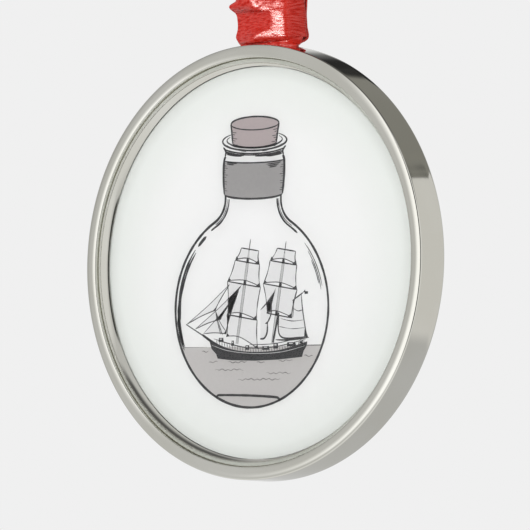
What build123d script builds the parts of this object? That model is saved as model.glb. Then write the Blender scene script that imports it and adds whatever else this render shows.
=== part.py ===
from build123d import *
import os
from math import asin, atan2, cos, degrees, radians, sin, sqrt

# Hanging ornament: a round cast frame round a printed metal disc, on a satin ribbon.
# Millimetres. +Z is up, +X is to the right, and the printed face looks along -Y.
# The origin is inside the top of the ribbon loop, where a hook carries the ornament.

os.makedirs("parts", exist_ok=True)

# ---- driving dimensions -------------------------------------------------------------
frame_radius = 28.85  # outside of the band at its rear edge, where it is largest
front_radius = 28.6  # the band narrows a little to the front, as castings do
front_edge = -4.73  # where the band ends and the front corner begins
rear_edge = -0.66
front_corner = 0.25  # radii of the corners between the band and the beads
rear_corner = 0.7
bead_inner_radius = 26.9  # inner wall of a bead
bead_inner_corner = 0.15
bead_slope = 12  # a bead is crowned by this much, in degrees each way
groove_depth = 0.62  # narrow groove between a bead and the cove
groove_width = 0.13
cove_hollow = 0.16  # the cove is hollowed this far below its chord
face_radius = 25.88
face_rim = -3.31  # front edge of the face
seat_clearance = 0.07  # gap round the face, seen as a thin seam
web_thickness = 0.55
back_radius = 25.2  # the flat back ends here, clear of the ribbon that passes above it

coat_edge = 0.16  # clear coat at its rim
coat_rise = 0.32  # and how much thicker it is in the middle
white_thickness = 0.05
disc_thickness = 0.45
pad_thickness = 0.10
pad_margin = 1.2
tint_thickness = 0.03  # areas of light ink
line_thickness = 0.05  # dark ink, laid over the tints

ribbon_width = 9.8
ribbon_thickness = 0.35
ribbon_gap = 0.06  # between the ribbon and the bead that it goes round
ribbon_slack = 0.70  # extra room behind the bead, because the ribbon isn't tight
loop_height = 37.65  # hook point above the top of the band
slot_length = 13.5
slot_width = 0.9
bar_front = -1.05  # rear wall of the slot, and front of the bar that holds the ribbon
slot_depth = 4.0  # below the top of the band
flex_height = 0.65  # the ribbon bends here, above the top of the band
flex_gap = 0.75  # CAD leaves this much above and below that bend
twist_height = 9.15  # and it twists above this height
twist_gap = 0.3

# ---- places worked out from them ----------------------------------------------------
disc_z = -(loop_height + frame_radius)  # height of the face's centre
band_top = -loop_height
white_front = face_rim + coat_edge
disc_front = white_front + white_thickness
pad_front = disc_front + disc_thickness
web_front = pad_front + pad_thickness
web_rear = web_front + web_thickness
seat_radius = face_radius + seat_clearance
slot_middle = bar_front - slot_width / 2
bar_rear = rear_edge + rear_corner
# The bar curves down towards the edges of the ribbon, which passes below it.
bar_under = disc_z + sqrt(bead_inner_radius**2 - (ribbon_width / 2) ** 2)


def finish(part, name):
    """Labels a finished piece and writes it out."""
    part.label = name
    export_step(part, f"parts/{name}.step")


def face_plane(y):
    """Plane parallel to the face at depth y, looking along -Y, centred on the disc."""
    return Plane(origin=(0, y, disc_z), x_dir=(1, 0, 0), z_dir=(0, -1, 0))


def round_axis():
    return Axis((0, 0, disc_z), (0, 1, 0))


# ---- frame --------------------------------------------------------------------------
def bead_and_cove(band_radius, edge, corner, seat, way):
    """Draws a rounded corner, the bead, a narrow groove and the cove, from the band
    inwards. The band ends at edge, the cove ends at the point seat, and way is -1 in
    front and +1 behind."""
    diagonal = sin(radians(45))
    rise, run = cos(radians(bead_slope)), sin(radians(bead_slope))
    corner_middle = band_radius - corner
    bead_start = (corner_middle + corner * run, edge + way * corner * rise)
    ThreePointArc(
        (band_radius, edge),
        (corner_middle + corner * diagonal, edge + way * corner * diagonal),
        bead_start,
    )
    inner_middle = bead_inner_radius + bead_inner_corner
    wall_start = bead_start[1] - way * bead_inner_corner * rise
    bead_end = (inner_middle - bead_inner_corner * run, bead_start[1])
    TangentArc(bead_start, bead_end, tangent=(-rise, way * run))
    ThreePointArc(
        bead_end,
        (
            inner_middle - bead_inner_corner * diagonal,
            wall_start + way * bead_inner_corner * diagonal,
        ),
        (bead_inner_radius, wall_start),
    )
    groove_floor = bead_start[1] - way * groove_depth
    cove_start = (bead_inner_radius - groove_width, groove_floor + way * groove_width)
    Line((bead_inner_radius, wall_start), (bead_inner_radius, groove_floor))
    Line((bead_inner_radius, groove_floor), cove_start)
    ThreePointArc(
        cove_start,
        (
            (cove_start[0] + seat[0]) / 2 + cove_hollow,
            (cove_start[1] + seat[1]) / 2 - way * cove_hollow,
        ),
        seat,
    )


with BuildPart() as frame:
    with BuildSketch(Plane.XY.offset(disc_z)):
        with BuildLine():
            front_seat, rear_seat = (seat_radius, face_rim), (back_radius, web_rear)
            bead_and_cove(front_radius, front_edge, front_corner, front_seat, -1)
            Polyline(front_seat, (seat_radius, web_front), (0, web_front))
            Polyline((0, web_front), (0, web_rear), rear_seat)
            bead_and_cove(frame_radius, rear_edge, rear_corner, rear_seat, 1)
            Line((frame_radius, rear_edge), (front_radius, front_edge))
        make_face()
    revolve(axis=round_axis())
    above = 1
    with BuildSketch(Plane.XY.offset(band_top + above)):
        with Locations((0, slot_middle)):
            SlotOverall(slot_length, slot_width)
    extrude(amount=-(slot_depth + above), mode=Mode.SUBTRACT)
finish(frame.part, "frame")

# ---- what lies in the frame ---------------------------------------------------------
with BuildPart() as adhesive_pad:
    with BuildSketch(face_plane(web_front)):
        Circle(face_radius - pad_margin)
    extrude(amount=pad_thickness)
finish(adhesive_pad.part, "adhesive_pad")

with BuildPart() as face_disc:
    with BuildSketch(face_plane(pad_front)):
        Circle(face_radius)
    extrude(amount=disc_thickness)
    fillet(face_disc.edges().sort_by(Axis.Y)[-1], 0.12)
finish(face_disc.part, "face_disc")

with BuildPart() as white_base:
    with BuildSketch(face_plane(disc_front)):
        Circle(face_radius)
    extrude(amount=white_thickness)
finish(white_base.part, "white_base")

with BuildPart() as clear_coat:
    with BuildSketch(Plane.XY.offset(disc_z)):
        with BuildLine():
            coat_front = white_front - coat_edge
            crown = coat_front - coat_rise
            dome_radius = (face_radius**2 + coat_rise**2) / (2 * coat_rise)
            dome_angle = degrees(asin(face_radius / dome_radius))
            CenterArc((0, crown + dome_radius), dome_radius, -90, dome_angle)
            Polyline((face_radius, coat_front), (face_radius, white_front), (0, white_front))
            Line((0, white_front), (0, crown))
        make_face()
    revolve(axis=round_axis())
finish(clear_coat.part, "clear_coat")

# ---- print: a corked bottle with a two-masted ship ----------------------------------
# The drawing is in millimetres from the disc's centre. The bottle is symmetrical about
# its own axis, which leans a little to the right.
bottle_lean = -1.8
bottle_middle = -0.6
body_radius = 13.1
body_height = -6.0  # centre of the round body
neck_half = 4.75
shoulder_radius = 3.5
neck_foot = 8.9  # where the neck band ends and the bare neck begins
glass_line = 0.42
shine_inset = 0.8  # lines of light inside the glass
lip_line = 0.3
sea_level = -11.05
base_half = 5.6


def bottle_plane(y):
    """Plane of the drawn bottle at depth y, leaning with it."""
    lean = radians(bottle_lean)
    return Plane(
        origin=(bottle_middle, y, disc_z),
        x_dir=(cos(lean), 0, sin(lean)),
        z_dir=(0, -1, 0),
    )


def oval_arc(middle, half_width, half_height, lower=True):
    """The lower or upper half of an ellipse, as a curve."""
    start = 180 if lower else 0
    return EllipticalCenterArc(
        middle, half_width, half_height, start_angle=start, arc_size=180
    )


shoulder_x = neck_half + shoulder_radius
shoulder_reach = body_radius + shoulder_radius
shoulder_z = body_height + sqrt(shoulder_reach**2 - shoulder_x**2)
join_angle = degrees(atan2(shoulder_z - body_height, shoulder_x))


def bottle_side(way):
    """One side of the bottle's outline, down from the neck band to the base."""
    Line((way * neck_half, neck_foot), (way * neck_half, shoulder_z))
    if way > 0:
        CenterArc((shoulder_x, shoulder_z), shoulder_radius, 180, join_angle)
        CenterArc((0, body_height), body_radius, join_angle, -(join_angle + 90))
    else:
        CenterArc((-shoulder_x, shoulder_z), shoulder_radius, 0, -join_angle)
        CenterArc((0, body_height), body_radius, 180 - join_angle, join_angle + 90)


body_middle = bottle_middle - body_height * sin(radians(bottle_lean))
with BuildPart() as print_sea:
    with BuildSketch(face_plane(white_front)):
        with Locations((body_middle, body_height)):
            Circle(body_radius)
        with Locations((body_middle, sea_level)):
            Rectangle(
                2 * body_radius,
                body_radius,
                align=(Align.CENTER, Align.MAX),
                mode=Mode.INTERSECT,
            )
    extrude(amount=tint_thickness)
finish(print_sea.part, "print_sea")

cork_top, cork_foot = 18.35, 15.9
cork_half, cork_foot_half = 4.1, 3.75
cork_drop, cork_foot_drop = 0.95, 0.75


def cork_outline():
    """Outline of the cork, a little narrower at its foot, in the bottle's plane."""
    oval_arc((0, cork_top), cork_half, cork_drop, lower=False)
    Line((-cork_half, cork_top), (-cork_foot_half, cork_foot))
    oval_arc((0, cork_foot), cork_foot_half, cork_foot_drop)
    Line((cork_foot_half, cork_foot), (cork_half, cork_top))


with BuildPart() as print_cork:
    with BuildSketch(bottle_plane(white_front)):
        with BuildLine():
            cork_outline()
        make_face()
    extrude(amount=tint_thickness)
finish(print_cork.part, "print_cork")


def neck_band_outline():
    """Outline of the label-like band round the neck, in the bottle's plane."""
    half, foot_half, top, foot = 5.15, 5.0, 13.6, 9.1
    top_sag, foot_sag = 0.4, 0.65
    ThreePointArc((-half, top), (0, top - top_sag), (half, top))
    Line((half, top), (foot_half, foot))
    ThreePointArc((foot_half, foot), (0, foot - foot_sag), (-foot_half, foot))
    Line((-foot_half, foot), (-half, top))


with BuildPart() as print_neck_band:
    with BuildSketch(bottle_plane(white_front)):
        with BuildLine():
            neck_band_outline()
        make_face()
    extrude(amount=tint_thickness)
finish(print_neck_band.part, "print_neck_band")

# Rings of the lip: (height, half width, drop). Its sides join the first ring to the cork.
lip_rings = ((15.75, 5.35, 1.15), (14.75, 5.1, 0.6), (14.2, 4.9, 0.5))
lip_top = (3.9, 16.75)
lip_bulge = 0.35
foot_rise = -17.7  # top of the bottle's hollow foot
foot_slope = 0.7

with BuildPart() as print_bottle:
    with BuildSketch(bottle_plane(white_front)):
        with BuildLine():
            bottle_side(1)
        trace(line_width=glass_line)
        with BuildLine():
            bottle_side(-1)
        trace(line_width=glass_line)
        with BuildLine():  # light on the glass, left and right
            CenterArc((0, body_height), body_radius - shine_inset, 125, 75)
        trace(line_width=0.35)
        with BuildLine():
            CenterArc((0, body_height), body_radius - shine_inset, 25, 32)
        trace(line_width=0.2)
        with BuildLine():
            cork_outline()
        trace(line_width=0.25)
        with BuildLine():
            oval_arc((0, cork_top), cork_half, cork_drop)
        trace(line_width=0.2)
        for height, half, drop in lip_rings:
            with BuildLine():
                oval_arc((0, height), half, drop)
            trace(line_width=lip_line)
        with BuildLine():
            for way in (-1, 1):
                lip_side = (way * lip_rings[0][1], lip_rings[0][0])
                SagittaArc((way * lip_top[0], lip_top[1]), lip_side, way * lip_bulge)
        trace(line_width=lip_line)
        with BuildLine():
            neck_band_outline()
        trace(line_width=lip_line)
        with BuildLine():
            Polyline(
                (-base_half, foot_rise - foot_slope / 2),
                (-base_half + foot_slope, foot_rise),
                (base_half - foot_slope, foot_rise),
                (base_half, foot_rise - foot_slope / 2),
            )
        trace(line_width=lip_line)
    extrude(amount=line_thickness)
finish(print_bottle.part, "print_bottle")

with BuildPart() as print_hull:
    with BuildSketch(face_plane(white_front)):
        with BuildLine():
            Polyline(
                (-8.0, -10.0), (-7.6, -11.2), (-6.8, -11.9), (-6.5, -12.65), (0, -12.95),
                (7.9, -12.55), (8.1, -11.9), (8.8, -10.6),
            )
            ThreePointArc((8.8, -10.6), (1.5, -11.75), (-8.0, -10.0))
        make_face()
    extrude(amount=line_thickness)
finish(print_hull.part, "print_hull")

# Masts: (heel, truck). Yards: (height along the mast in mm below the truck, half length).
mast_lines = {"fore": ((-3.0, -10.9), (-0.75, 3.0)), "main": ((3.5, -10.9), (5.25, 2.5))}
yard_tilt = -9.0
yard_table = ((1.3, 1.55), (2.9, 2.15), (5.8, 2.85), (10.1, 2.55))
# The fore course reaches this far down its mast, and the main mast has none.
lowest_foot = {"fore": 13.4, "main": 10.4}
foot_half_length = 2.8
wave_line = 0.12


def on_mast(name, below):
    """Point on a mast, a given distance below its truck."""
    heel, truck = mast_lines[name]
    length = sqrt((truck[0] - heel[0]) ** 2 + (truck[1] - heel[1]) ** 2)
    share = below / length
    return tuple(t + (h - t) * share for h, t in zip(heel, truck))


def yard_ends(name, below, half):
    """Left and right end of a yard."""
    x, z = on_mast(name, below)
    dx = half * cos(radians(yard_tilt))
    dz = half * sin(radians(yard_tilt))
    return (x - dx, z - dz), (x + dx, z + dz)


def yards(name):
    return [yard_ends(name, below, half) for below, half in yard_table]


headsails = (
    ((-11.9, -8.05), (-4.4, -2.8), (-6.9, -6.2)),
    ((-10.4, -8.6), (-3.2, -4.2), (-6.0, -7.4)),
    ((-9.0, -9.2), (-3.8, -6.0), (-5.0, -9.3)),
)
spanker = ((6.5, -5.1), (8.0, -4.4), (8.8, -9.9), (4.3, -10.0), (6.3, -7.6))
staysail = ((3.6, -3.6), (2.3, -7.8), (1.1, -9.9))

with BuildPart() as print_sails:
    with BuildSketch(face_plane(white_front)):
        for mast in mast_lines:
            rows = yards(mast)
            foot = yard_ends(mast, lowest_foot[mast], foot_half_length)
            sails = rows + [foot] if mast == "fore" else rows
            for (top_left, top_right), (low_left, low_right) in zip(sails, sails[1:]):
                with BuildLine():
                    Polyline(top_left, top_right, low_right, low_left, close=True)
                make_face()
        for corners in (*headsails, spanker, staysail):
            with BuildLine():
                Polyline(*corners, close=True)
            make_face()
    extrude(amount=tint_thickness)
finish(print_sails.part, "print_sails")

with BuildPart() as print_rigging:
    with BuildSketch(face_plane(white_front)):
        for mast, (heel, truck) in mast_lines.items():
            with BuildLine():
                Line(heel, truck)
            trace(line_width=0.35)
            for left, right in yards(mast):
                with BuildLine():
                    Line(left, right)
                trace(line_width=0.22)
        with BuildLine():  # bowsprit, gaff and boom
            Line((-7.6, -10.2), (-12.0, -8.0))
        trace(line_width=0.22)
        with BuildLine():
            Line((6.4, -5.2), (8.2, -4.2))
        trace(line_width=0.2)
        with BuildLine():
            Line((3.9, -10.1), (9.1, -10.05))
        trace(line_width=0.25)
        for tack, head, clew in headsails:
            with BuildLine():
                Polyline(clew, tack, head)
            trace(line_width=0.14)
    extrude(amount=line_thickness)
finish(print_rigging.part, "print_rigging")

wave_rows = ((-5.0, -13.15, 6.0), (-4.4, -14.1, 5.0), (4.0, -14.55, 4.2), (0.7, -15.4, 7.2))
with BuildPart() as print_waves:
    with BuildSketch(face_plane(white_front)):
        for middle, height, length in wave_rows:
            with BuildLine():
                Line((middle - length / 2, height), (middle + length / 2, height))
            trace(line_width=wave_line)
    extrude(amount=line_thickness)
finish(print_waves.part, "print_waves")

# ---- ribbon: one strip, cut where it bends ------------------------------------------
# Profiles are in (y, z), seen along X, with z measured from the hook point.
leg_front = bar_front - ribbon_gap - ribbon_thickness / 2
leg_rear = bar_rear + ribbon_slack + ribbon_thickness / 2
wrap_bottom = bar_under - ribbon_slack - ribbon_thickness / 2
wrap_top = band_top + flex_height - flex_gap
strand_foot = band_top + flex_height + flex_gap
strand_top = band_top + twist_height
loop_foot = strand_top + twist_gap


def ribbon_strip(points, radii):
    """A strip of ribbon that follows these (y, z) points, with its corners rounded."""
    with BuildPart() as strip:
        with BuildSketch(Plane.YZ.offset(-ribbon_width / 2)):
            with BuildLine():
                FilletPolyline(*points, radius=radii)
            trace(line_width=ribbon_thickness)
        extrude(amount=ribbon_width)
    return strip.part


ribbon_wrap = ribbon_strip(
    (
        (leg_front, wrap_top),
        (leg_front, wrap_bottom),
        (leg_rear, wrap_bottom),
        (leg_rear, wrap_top),
    ),
    0.6,
)
finish(ribbon_wrap, "ribbon_wrap")

front_strand = ribbon_strip(
    (
        (leg_front, strand_foot),
        (-1.15, strand_foot + 1.6),
        (-1.0, strand_foot + 5),
        (-1.6, strand_top),
    ),
    (2.5, 8.0),
)
finish(front_strand, "ribbon_front_strand")

rear_strand = ribbon_strip(
    (
        (leg_rear, strand_foot),
        (2.0, strand_foot + 1.6),
        (1.6, strand_foot + 5),
        (1.9, strand_top),
    ),
    (1.2, 8.0),
)
finish(rear_strand, "ribbon_rear_strand")

eye_half = 3.4  # half the width of the loop's eye, to the middle of the ribbon
for way, foot_y, name in ((-1, -1.6, "front"), (1, 1.9, "rear")):
    upper = ribbon_strip(
        (
            (foot_y, loop_foot),
            (way * 2.4, -20),
            (way * eye_half, -10),
            (way * eye_half, -3.6),
            (way * 0.35, -0.2),
        ),
        (14.0, 8.0, 2.2),
    )
    finish(upper, f"ribbon_{name}_loop")

# ---- knot and tails above the hook --------------------------------------------------
knot_width = 7.4
knot_depth = 5.6
knot_height = 4.8
knot_foot = 0.3
with BuildPart() as ribbon_knot:
    with Locations((0, 0, knot_foot + knot_height / 2)):
        Box(knot_width, knot_depth, knot_height)
    fillet(ribbon_knot.edges(), 2.0)
finish(ribbon_knot.part, "ribbon_knot")

tail_length = 13.0
tail_foot = knot_foot + knot_height + 0.1
for way, name in ((-1, "left"), (1, "right")):
    with BuildPart() as tail:
        with BuildSketch(Plane.XZ.offset(-way * 0.6)):
            with BuildLine():
                Polyline(
                    (way * 0.4 - 2.4, tail_foot),
                    (way * 0.4 + 2.4, tail_foot),
                    (way * 6.0 + 3.4, tail_foot + tail_length - way * 1.2),
                    (way * 6.0 - 3.4, tail_foot + tail_length + way * 1.2),
                    close=True,
                )
            make_face()
        extrude(amount=ribbon_thickness / 2, both=True)
    finish(tail.part, f"ribbon_{name}_tail")
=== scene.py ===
"""Looks of the hanging ornament: polished frame, glossy printed face and satin ribbon.
Lengths are in millimetres until a mesh is made, and x, y, z are the row frame's."""

import math

import bpy
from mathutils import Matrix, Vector
from mathutils.geometry import tessellate_polygon


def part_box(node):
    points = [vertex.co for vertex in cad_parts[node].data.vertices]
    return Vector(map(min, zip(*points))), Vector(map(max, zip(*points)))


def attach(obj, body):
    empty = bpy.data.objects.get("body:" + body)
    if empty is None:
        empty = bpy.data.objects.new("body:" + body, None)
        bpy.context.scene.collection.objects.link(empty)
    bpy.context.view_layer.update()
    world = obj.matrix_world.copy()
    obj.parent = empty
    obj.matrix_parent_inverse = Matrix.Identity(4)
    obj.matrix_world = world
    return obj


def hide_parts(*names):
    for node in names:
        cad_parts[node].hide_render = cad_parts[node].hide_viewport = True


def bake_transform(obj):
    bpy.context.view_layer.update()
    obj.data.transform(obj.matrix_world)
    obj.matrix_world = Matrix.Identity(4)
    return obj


MM = 0.001
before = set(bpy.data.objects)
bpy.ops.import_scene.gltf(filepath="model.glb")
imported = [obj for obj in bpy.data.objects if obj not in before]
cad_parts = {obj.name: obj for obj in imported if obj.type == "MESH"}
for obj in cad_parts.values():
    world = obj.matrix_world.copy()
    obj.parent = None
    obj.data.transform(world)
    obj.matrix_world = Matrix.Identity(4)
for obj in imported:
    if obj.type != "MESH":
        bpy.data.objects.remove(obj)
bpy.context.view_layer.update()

# ---- places read from the frame -----------------------------------------------------
frame_low, frame_high = (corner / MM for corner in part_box("frame"))
white_low, white_high = (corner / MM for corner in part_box("white_base"))
DISC_Z = (frame_low.z + frame_high.z) / 2
FRAME_RADIUS = (frame_high.z - frame_low.z) / 2
BAND_TOP = DISC_Z + FRAME_RADIUS
FRONT, REAR = frame_low.y, frame_high.y
FACE_RADIUS = (white_high.x - white_low.x) / 2
WHITE_FRONT = white_low.y


# ---- small helpers ------------------------------------------------------------------
def smooth_line(points, steps=8):
    """Catmull-Rom curve through points of any dimension, as a list of tuples."""

    def between(a, b, c, d):
        bend = (2 * a - 5 * b + 4 * c - d) * t * t + (3 * b - a - 3 * c + d) * t**3
        return 0.5 * (2 * b + (c - a) * t + bend)

    padded = [points[0], *points, points[-1]]
    line = []
    for four in zip(padded, padded[1:], padded[2:], padded[3:]):
        for i in range(steps):
            t = i / steps
            line.append(tuple(between(*values) for values in zip(*four)))
    return [*line, tuple(points[-1])]


def arc(middle, half_width, half_height, start, end, count=24):
    """Points along an ellipse, angles in degrees from the right, anticlockwise."""
    angles = [math.radians(start + (end - start) * i / count) for i in range(count + 1)]
    return [
        (middle[0] + half_width * math.cos(a), middle[1] + half_height * math.sin(a))
        for a in angles
    ]


def straight(start, end, count=6):
    """Points along a straight line."""
    return [
        tuple(s + (e - s) * i / count for s, e in zip(start, end)) for i in range(count + 1)
    ]


def mesh_object(name, points, faces, material, body="ornament", uvs=None, smooth=False):
    """Makes a mesh from points in millimetres, and has it ride on a body."""
    mesh = bpy.data.meshes.new(name)
    mesh.from_pydata([tuple(c * MM for c in p) for p in points], [], faces)
    mesh.update()
    if uvs:
        layer = mesh.uv_layers.new(name="UVMap")
        for loop in mesh.loops:
            layer.data[loop.index].uv = uvs[loop.vertex_index]
    mesh.polygons.foreach_set("use_smooth", [smooth] * len(mesh.polygons))
    mesh.materials.append(material)
    made = bpy.data.objects.new(name, mesh)
    bpy.context.scene.collection.objects.link(made)
    if body:
        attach(made, body)
    return made


def revolved(name, profile, spokes, closed, material):
    """A smooth piece turned round the disc's axis from (radius, y) points."""
    points, rings = [], []
    for r, y in profile:
        turns = spokes if r else 1
        rings.append(list(range(len(points), len(points) + turns)) * (spokes // turns))
        for k in range(turns):
            turn = 2 * math.pi * k / spokes
            points.append((r * math.cos(turn), y, DISC_Z + r * math.sin(turn)))
    faces = []
    for ring, after in zip(rings, rings[1:] + rings[:1] if closed else rings[1:]):
        for k in range(spokes):
            n = (k + 1) % spokes
            face = tuple(dict.fromkeys((ring[k], ring[n], after[n], after[k])))
            if len(face) > 2:
                faces.append(face)
    return mesh_object(name, points, faces, material, smooth=True)


# ---- node helpers -------------------------------------------------------------------
def connect(tree, node, inputs):
    """Sets a node's inputs. A value that is a socket is linked."""
    for name, value in inputs.items():
        if isinstance(value, bpy.types.NodeSocket):
            tree.links.new(value, node.inputs[name])
        else:
            node.inputs[name].default_value = value


def add_node(tree, kind, inputs=None, **settings):
    made = tree.nodes.new(kind)
    for name, value in settings.items():
        setattr(made, name, value)
    connect(tree, made, inputs or {})
    return made


def ramp(tree, factor, stops):
    """A colour ramp from (position, colour) stops."""
    made = add_node(tree, "ShaderNodeValToRGB", {"Fac": factor})
    elements = made.color_ramp.elements
    while len(elements) < len(stops):
        elements.new(0.5)
    for element, (place, colour) in zip(elements, stops):
        element.position = place
        element.color = (*colour, 1)
    return made.outputs["Color"]


def map_range(tree, value, low, high, start=0.0, stop=1.0, **settings):
    """Maps a value that goes from start to stop onto low to high."""
    ends = {"From Min": start, "From Max": stop, "To Min": low, "To Max": high}
    made = add_node(tree, "ShaderNodeMapRange", {"Value": value, **ends}, **settings)
    return made.outputs["Result"]


def grey(value):
    return (value, value, value)


def new_material(name):
    material = bpy.data.materials.new(name)
    material.use_nodes = True
    tree = material.node_tree
    return material, tree, tree.nodes["Principled BSDF"]


def noise_of(tree, scale, detail=2.0, stretch=(1, 1, 1), source="Object"):
    """Noise in object space (metres) or UV space (millimetres), stretched per axis."""
    place = add_node(tree, "ShaderNodeTexCoord").outputs[source]
    mapped = add_node(tree, "ShaderNodeMapping", {"Vector": place, "Scale": stretch})
    inputs = {"Vector": mapped.outputs["Vector"], "Scale": scale, "Detail": detail}
    return add_node(tree, "ShaderNodeTexNoise", inputs).outputs["Fac"]


def bump(tree, height, strength, distance, normal=None):
    inputs = {"Height": height, "Strength": strength, "Distance": distance}
    if normal is not None:
        inputs["Normal"] = normal
    return add_node(tree, "ShaderNodeBump", inputs).outputs["Normal"]


# ---- materials ----------------------------------------------------------------------
def mottled(name, dark, light, scale, detail, inputs, stretch=(1, 1, 1)):
    """A material whose colour wanders a little between two."""
    material, tree, shader = new_material(name)
    tint = ramp(tree, noise_of(tree, scale, detail, stretch), [(0.3, dark), (0.7, light)])
    connect(tree, shader, {"Base Color": tint, **inputs})
    return material


def ink(name, light, dark):
    """Flat printing ink, a little uneven."""
    return mottled(name, dark, light, 2600, 3, {"Roughness": 0.55, "Specular IOR Level": 0.1})


def sheet_metal():
    """Plain sheet under the white coat, only seen at its edge."""
    inputs = {"Metallic": 1.0, "Roughness": 0.4}
    return mottled("face_metal", grey(0.30), grey(0.42), 700, 3, inputs, (1, 1, 14))


def adhesive():
    """Cream foam adhesive, hidden behind the disc."""
    dark, light = (0.62, 0.6, 0.5), (0.78, 0.77, 0.68)
    return mottled("adhesive", dark, light, 3000, 4, {"Roughness": 0.9})


def pale_floor():
    inputs = {"Roughness": 0.9, "Specular IOR Level": 0.0}
    return mottled("pale_floor", grey(0.865), grey(0.875), 30, 2, inputs)


def plated_metal():
    """Polished plating over a casting: faint waviness, fine scratches, small smudges."""
    material, tree, shader = new_material("plated_metal")
    smudges = [(0.35, (0.59, 0.583, 0.53)), (0.7, (0.63, 0.624, 0.58))]
    scratch = noise_of(tree, 900, 6, (1, 6, 1))
    wavy = bump(tree, noise_of(tree, 110, 1), 0.3, 0.0002)
    inputs = {
        "Metallic": 1.0,
        "Base Color": ramp(tree, noise_of(tree, 90, 3), smudges),
        "Roughness": map_range(tree, scratch, 0.03, 0.09),
        "Normal": bump(tree, scratch, 0.02, 0.00003, wavy),
    }
    connect(tree, shader, inputs)
    return material


def face_distance(tree):
    """Distance from the disc's centre, 0 at the centre and 1 at the face's rim."""
    place = add_node(tree, "ShaderNodeTexCoord").outputs["Object"]
    ends = {0: place, 1: (0, WHITE_FRONT * MM, DISC_Z * MM)}
    apart = add_node(tree, "ShaderNodeVectorMath", ends, operation="DISTANCE")
    share = {0: apart.outputs["Value"], 1: FACE_RADIUS * MM}
    return add_node(tree, "ShaderNodeMath", share, operation="DIVIDE").outputs["Value"]


def white_coating():
    """White coat, with painted shade and a painted greenish ring reflection towards the rim."""
    material, tree, shader = new_material("white_coating")
    # painted shade and painted reflection of the ring: the colour greys and greens towards the
    # rim
    tints = [
        (0.0, (0.865, 0.865, 0.865)),
        (0.66, (0.855, 0.858, 0.85)),
        (0.93, (0.80, 0.82, 0.795)),
        (1.0, (0.70, 0.72, 0.69)),
    ]
    inputs = {
        "Base Color": ramp(tree, face_distance(tree), tints),
        "Roughness": 0.6,
        "Specular IOR Level": 0.0,
        "Normal": bump(tree, noise_of(tree, 1500, 2), 0.03, 0.00005),
    }
    connect(tree, shader, inputs)
    return material


def clear_coating():
    """Clear coat: lets light straight through and mirrors a little of it."""
    material, tree, shader = new_material("clear_coating")
    tree.nodes.remove(shader)
    ripple = bump(tree, noise_of(tree, 45, 1), 0.05, 0.0003)
    clear = add_node(tree, "ShaderNodeBsdfTransparent")
    gloss = add_node(tree, "ShaderNodeBsdfAnisotropic", {"Roughness": 0.04, "Normal": ripple})
    share = add_node(tree, "ShaderNodeFresnel", {"IOR": 1.42, "Normal": ripple})
    inputs = {0: share.outputs[0], 1: clear.outputs[0], 2: gloss.outputs[0]}
    mixed = add_node(tree, "ShaderNodeMixShader", inputs)
    connect(tree, tree.nodes["Material Output"], {"Surface": mixed.outputs[0]})
    return material


def satin():
    """Red satin: long crosswise floats break the shine into fine streaks. UV is in
    millimetres, across and along the ribbon."""
    material, tree, shader = new_material("ribbon_satin")
    streak = noise_of(tree, 1.0, 4, (1.2, 6.5, 1), "UV")
    broad = noise_of(tree, 1.0, 2, (0.3, 0.8, 1), "UV")
    reds = [
        (0.3, (0.37, 0.010, 0.005)),
        (0.5, (0.50, 0.016, 0.008)),
        (0.7, (0.58, 0.025, 0.013)),
    ]
    wide = bump(tree, broad, 0.5, 0.00025)
    inputs = {
        "Base Color": ramp(tree, streak, reds),
        "Roughness": map_range(tree, broad, 0.22, 0.28),
        "Specular IOR Level": map_range(tree, streak, 0.06, 0.7, 0.4, 0.56),
        "IOR": 1.5,
        "Specular Tint": (1.0, 0.78, 0.74, 1),
        "Normal": bump(tree, streak, 0.5, 0.00006, wide),
    }
    connect(tree, shader, inputs)
    return material


# ---- camera -------------------------------------------------------------------------
def direction(azimuth, elevation):
    """Unit vector. Azimuth 0 is in front of the face, and positive is to its right."""
    turn, lift = math.radians(azimuth), math.radians(elevation)
    return Vector(
        (math.sin(turn) * math.cos(lift), -math.cos(turn) * math.cos(lift), math.sin(lift))
    )


def make_camera():
    """Long lens, about 40 degrees to the right of the face and a little below it."""
    back = direction(39.56, -2.88)
    distance = 393.8
    aim_right, aim_up = 2.52, -0.42  # the lens axis passes this far from the disc's axis
    right = Vector((0, 0, 1)).cross(back).normalized()
    up = back.cross(right)
    aim = Vector((0, FRONT, DISC_Z)) + right * aim_right + up * aim_up
    camera = bpy.data.objects.new("camera", bpy.data.cameras.new("camera"))
    bpy.context.scene.collection.objects.link(camera)
    camera.data.lens = 203.8
    camera.data.sensor_width = 36
    camera.data.clip_start = 0.01
    camera.rotation_mode = "QUATERNION"
    camera.rotation_quaternion = back.to_track_quat("Z", "Y")
    camera.location = (aim + back * distance) * MM
    bpy.context.scene.camera = camera


# ---- stage --------------------------------------------------------------------------
BACKDROP = 0.871


def cone(way, inner, outer):
    """Edge of a round patch round a direction, which fades from inner to outer degrees."""
    return Vector(way).normalized(), math.cos(math.radians(outer)), math.cos(math.radians(inner))


def region(tree, looked, edges):
    """Share of the part of the world beyond every edge: (direction, low, high)."""
    share = None
    for way, low, high in edges:
        ends = {0: looked, 1: Vector(way)}
        near = add_node(tree, "ShaderNodeVectorMath", ends, operation="DOT_PRODUCT")
        along = near.outputs["Value"]
        step = map_range(tree, along, 0, 1, low, high, interpolation_type="SMOOTHSTEP")
        if share is not None:
            both = {0: share, 1: step}
            step = add_node(tree, "ShaderNodeMath", both, operation="MULTIPLY").outputs["Value"]
        share = step
    return share


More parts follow.
